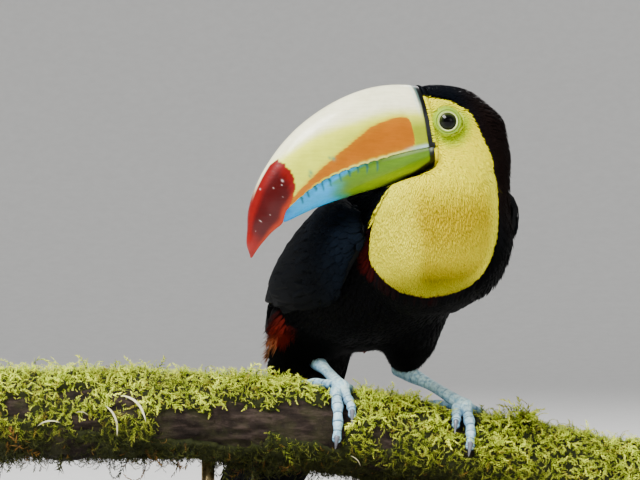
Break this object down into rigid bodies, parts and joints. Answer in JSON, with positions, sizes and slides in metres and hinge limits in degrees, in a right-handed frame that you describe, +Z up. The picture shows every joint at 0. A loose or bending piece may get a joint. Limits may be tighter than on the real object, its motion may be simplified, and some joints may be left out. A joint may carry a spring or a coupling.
{
  "type": "perched toucan model",
  "caption": "Life-size still model of a keel-billed toucan gripping a cut, mossy branch that rods hold over a flat display base.",
  "frame": {"origin": "centre of the display base's flat underside", "axes": "+Z up; X along the branch, with the head at +X and the bill pointing towards -X; -Y is the side that the breast faces"},
  "size_m": [0.4017, 0.2116, 0.3041],
  "materials": {
    "black_plumage": "soft black feathers with a faint blue-green sheen",
    "yellow_plumage": "very fine, velvety lemon-yellow feathers",
    "upper_bill": "smooth glossy horn, yellow-green with an orange blaze and a dark red tip",
    "lower_bill": "smooth glossy horn, green at the root and sky blue further out",
    "eye": "wet, dark and very glossy",
    "blue_legs": "pale blue scaly skin",
    "claw": "grey horn",
    "mossy_bark": "rough bark under yellow-green moss",
    "stand_wood": "dark stained wood, satin",
    "stand_metal": "satin brass rod"
  },
  "bodies": {
    "root": {"trunk": "black_plumage", "rump": "black_plumage", "neck": "black_plumage", "wing_left": "black_plumage", "wing_right": "black_plumage", "tail": "black_plumage", "thigh_left": "black_plumage", "thigh_right": "black_plumage", "head": "yellow_plumage", "bill_upper": "upper_bill", "bill_lower": "lower_bill", "eye_left": "eye", "eye_right": "eye", "shank_left": "blue_legs", "shank_right": "blue_legs", "toe1_left": "blue_legs", "toe2_left": "blue_legs", "toe3_left": "blue_legs", "toe4_left": "blue_legs", "toe1_right": "blue_legs", "toe2_right": "blue_legs", "toe3_right": "blue_legs", "toe4_right": "blue_legs", "claw_toe1_left": "claw", "claw_toe2_left": "claw", "claw_toe3_left": "claw", "claw_toe4_left": "claw", "claw_toe1_right": "claw", "claw_toe2_right": "claw", "claw_toe3_right": "claw", "claw_toe4_right": "claw", "perch_branch": "mossy_bark", "stand_base": "stand_wood", "stand_rod_left": "stand_metal", "stand_rod_right": "stand_metal"}
  },
  "joints": []
}
